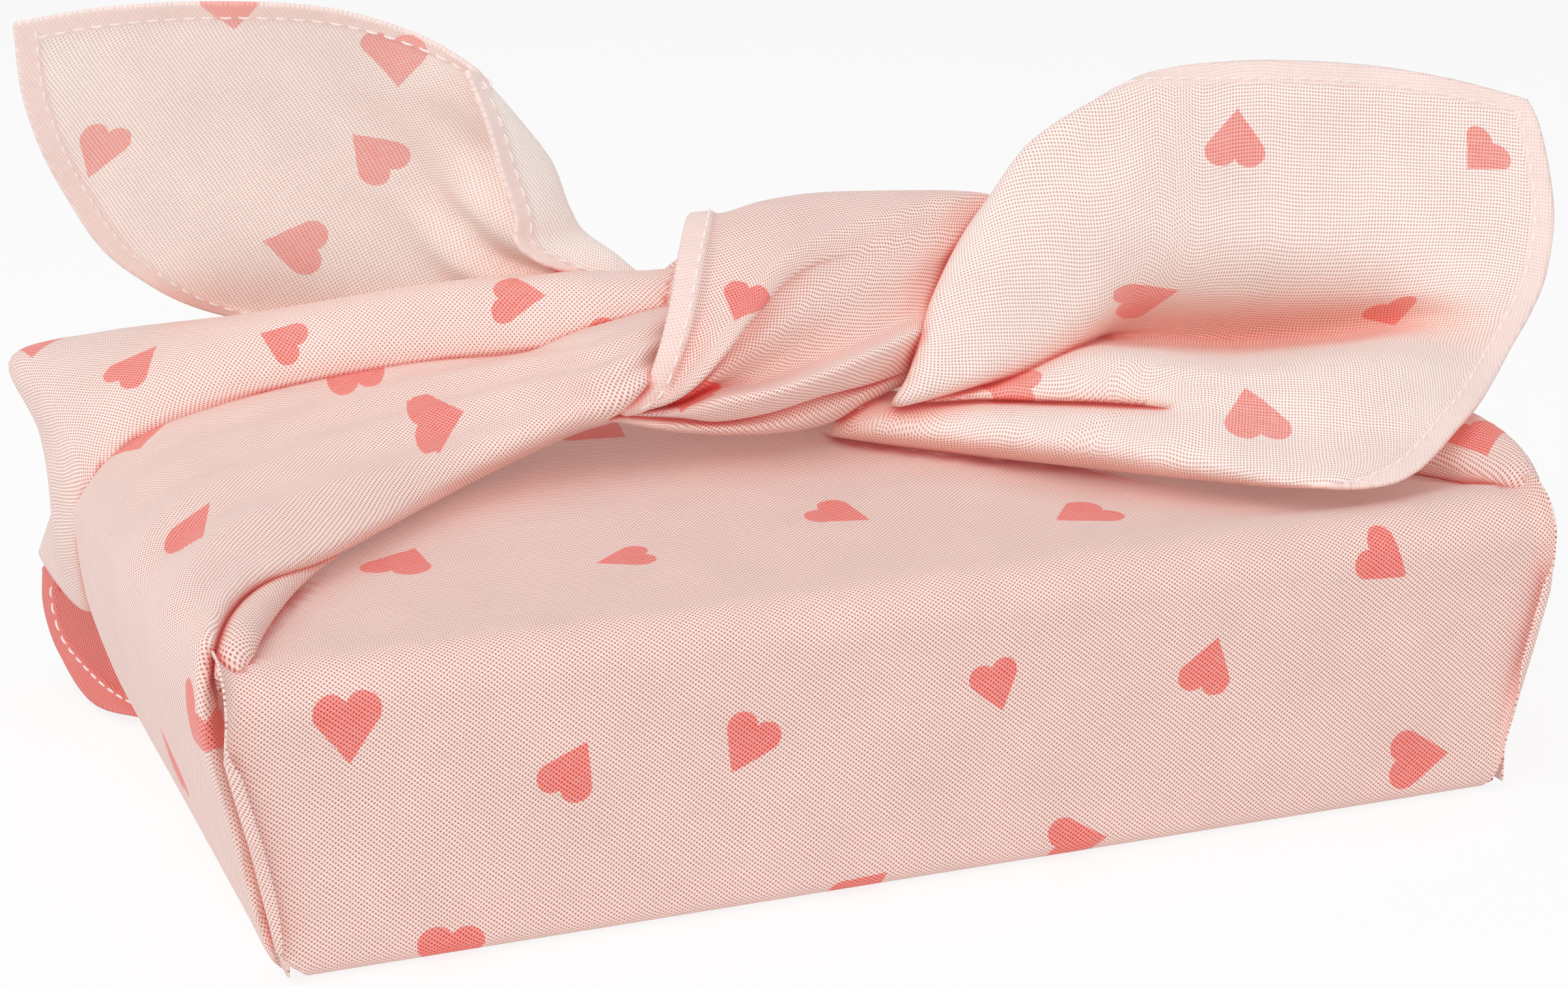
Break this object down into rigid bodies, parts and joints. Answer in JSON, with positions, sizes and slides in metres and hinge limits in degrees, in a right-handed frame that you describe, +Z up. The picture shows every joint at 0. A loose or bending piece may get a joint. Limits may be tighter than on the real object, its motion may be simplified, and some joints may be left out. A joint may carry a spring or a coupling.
{
  "type": "cloth gift bag",
  "caption": "Square cotton wrapping cloth folded over a shallow rigid gift box and knotted on top, with petal-shaped tails, a scattered heart print and stitched hems.",
  "frame": {"origin": "centre of the flat underside, on the surface that the bundle stands on", "axes": "+X along the length of the box towards the end under the wide right tail, +Y from the front to the back, +Z up through the knot"},
  "size_m": [0.295, 0.1821, 0.1483],
  "materials": {
    "cloth": "matt plain-weave cotton, pale pink, printed with small coral hearts and hemmed with white running stitches",
    "paperboard": "matt white paper over board"
  },
  "bodies": {
    "wrapped_box": {"box_tray": "paperboard", "box_lid": "paperboard", "cloth_underside": "cloth", "front_panel": "cloth", "back_panel": "cloth", "front_left_pleat": "cloth", "front_right_pleat": "cloth", "back_left_pleat": "cloth", "back_right_pleat": "cloth", "left_end_panel": "cloth", "right_end_panel": "cloth", "left_gather": "cloth", "left_roll": "cloth", "right_gather": "cloth", "corner_roll": "cloth"},
    "knot": {"knot_lower_lobe": "cloth", "knot_middle_lobe": "cloth", "knot_band": "cloth", "knot_core": "cloth"},
    "left_tail_cloth": {"left_tail": "cloth"},
    "right_tail_cloth": {"right_tail": "cloth"},
    "flap_cloth": {"loose_flap": "cloth"}
  },
  "joints": [
    {"name": "knot_lift", "type": "slide", "parent": "wrapped_box", "child": "knot", "axis": [0, 0, 1], "range_m": [0, 0.006]},
    {"name": "left_tail_fold", "type": "hinge", "parent": "knot", "child": "left_tail_cloth", "pos_m": [-0.025, 0.034, 0.08], "axis": [-0.8703, 0.4851, -0.0856], "range_deg": [0, 40]},
    {"name": "right_tail_fold", "type": "hinge", "parent": "knot", "child": "right_tail_cloth", "pos_m": [0.023, -0.021, 0.062], "axis": [0.8001, -0.5972, -0.0563], "range_deg": [0, 35]},
    {"name": "loose_flap_lift", "type": "hinge", "parent": "wrapped_box", "child": "flap_cloth", "pos_m": [-0.12, 0.05, 0.004], "axis": [-0.026, 0.9092, 0.4156], "range_deg": [0, 20]}
  ]
}
